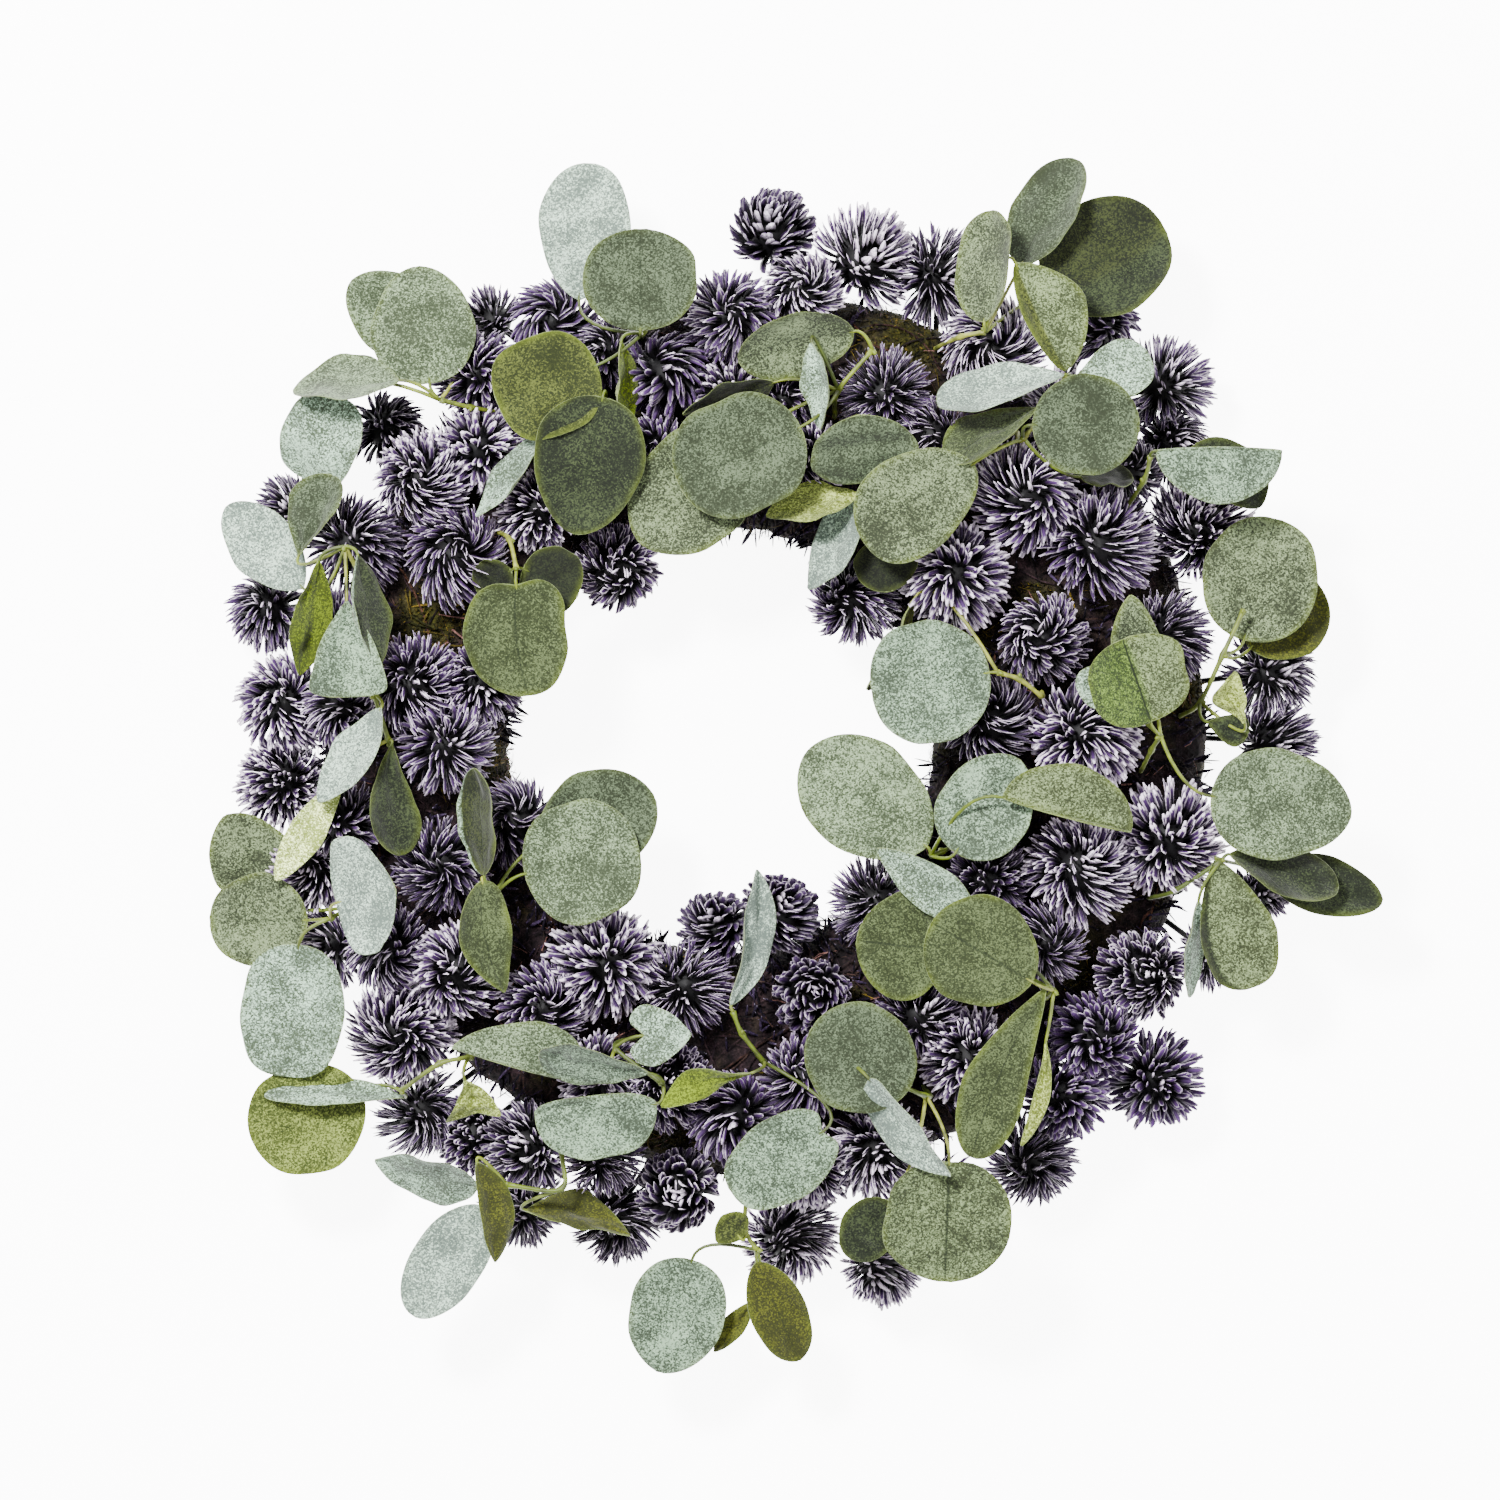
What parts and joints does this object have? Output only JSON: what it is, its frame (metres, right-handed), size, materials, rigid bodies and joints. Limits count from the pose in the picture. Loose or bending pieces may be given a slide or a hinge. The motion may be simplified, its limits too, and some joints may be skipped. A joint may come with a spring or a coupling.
{
  "type": "wreath",
  "caption": "Round door wreath: a moss-covered ring form set all round with frosted spiky cone heads and sprays of silver-dollar eucalyptus.",
  "frame": {"origin": "middle of the wreath's outline, on the flat back that it lies on", "axes": "+Z out of the wreath's front, +X to the right and +Y up as the wreath hangs"},
  "size_m": [0.5416, 0.5608, 0.1093],
  "materials": {
    "moss_form": "matte plum-brown plant fibre with olive moss",
    "eucalyptus": "matte flocked grey-green leaves on yellow-green stems",
    "cone_heads": "matte aubergine bracts with frosted edges and tips"
  },
  "bodies": {
    "root": {"moss_ring_form": "moss_form", "eucalyptus_spray_01": "eucalyptus", "eucalyptus_spray_02": "eucalyptus", "eucalyptus_spray_03": "eucalyptus", "eucalyptus_spray_04": "eucalyptus", "eucalyptus_spray_05": "eucalyptus", "eucalyptus_spray_06": "eucalyptus", "eucalyptus_spray_07": "eucalyptus", "eucalyptus_spray_08": "eucalyptus", "eucalyptus_spray_09": "eucalyptus", "eucalyptus_spray_10": "eucalyptus", "eucalyptus_spray_11": "eucalyptus", "eucalyptus_spray_12": "eucalyptus", "eucalyptus_spray_13": "eucalyptus", "eucalyptus_spray_14": "eucalyptus", "eucalyptus_spray_15": "eucalyptus", "eucalyptus_spray_16": "eucalyptus", "eucalyptus_spray_17": "eucalyptus", "eucalyptus_spray_18": "eucalyptus", "eucalyptus_spray_19": "eucalyptus", "eucalyptus_spray_20": "eucalyptus", "eucalyptus_spray_21": "eucalyptus", "eucalyptus_spray_22": "eucalyptus", "eucalyptus_spray_23": "eucalyptus", "eucalyptus_spray_24": "eucalyptus", "eucalyptus_spray_25": "eucalyptus", "cone_cluster_01": "cone_heads", "cone_cluster_02": "cone_heads", "cone_cluster_03": "cone_heads", "cone_cluster_04": "cone_heads", "cone_cluster_05": "cone_heads", "cone_cluster_06": "cone_heads", "cone_cluster_07": "cone_heads", "cone_cluster_08": "cone_heads", "cone_cluster_09": "cone_heads", "cone_cluster_10": "cone_heads", "cone_cluster_11": "cone_heads", "cone_cluster_12": "cone_heads", "cone_cluster_13": "cone_heads", "cone_cluster_14": "cone_heads", "cone_cluster_15": "cone_heads", "cone_cluster_16": "cone_heads", "cone_cluster_17": "cone_heads", "cone_cluster_18": "cone_heads", "cone_cluster_19": "cone_heads", "cone_cluster_20": "cone_heads", "cone_cluster_21": "cone_heads", "cone_cluster_22": "cone_heads", "cone_cluster_23": "cone_heads", "cone_cluster_24": "cone_heads", "cone_cluster_25": "cone_heads", "cone_cluster_26": "cone_heads", "cone_cluster_27": "cone_heads", "cone_cluster_28": "cone_heads", "cone_cluster_29": "cone_heads", "cone_cluster_30": "cone_heads", "cone_cluster_31": "cone_heads", "cone_cluster_32": "cone_heads", "cone_cluster_33": "cone_heads", "cone_cluster_34": "cone_heads"}
  },
  "joints": []
}
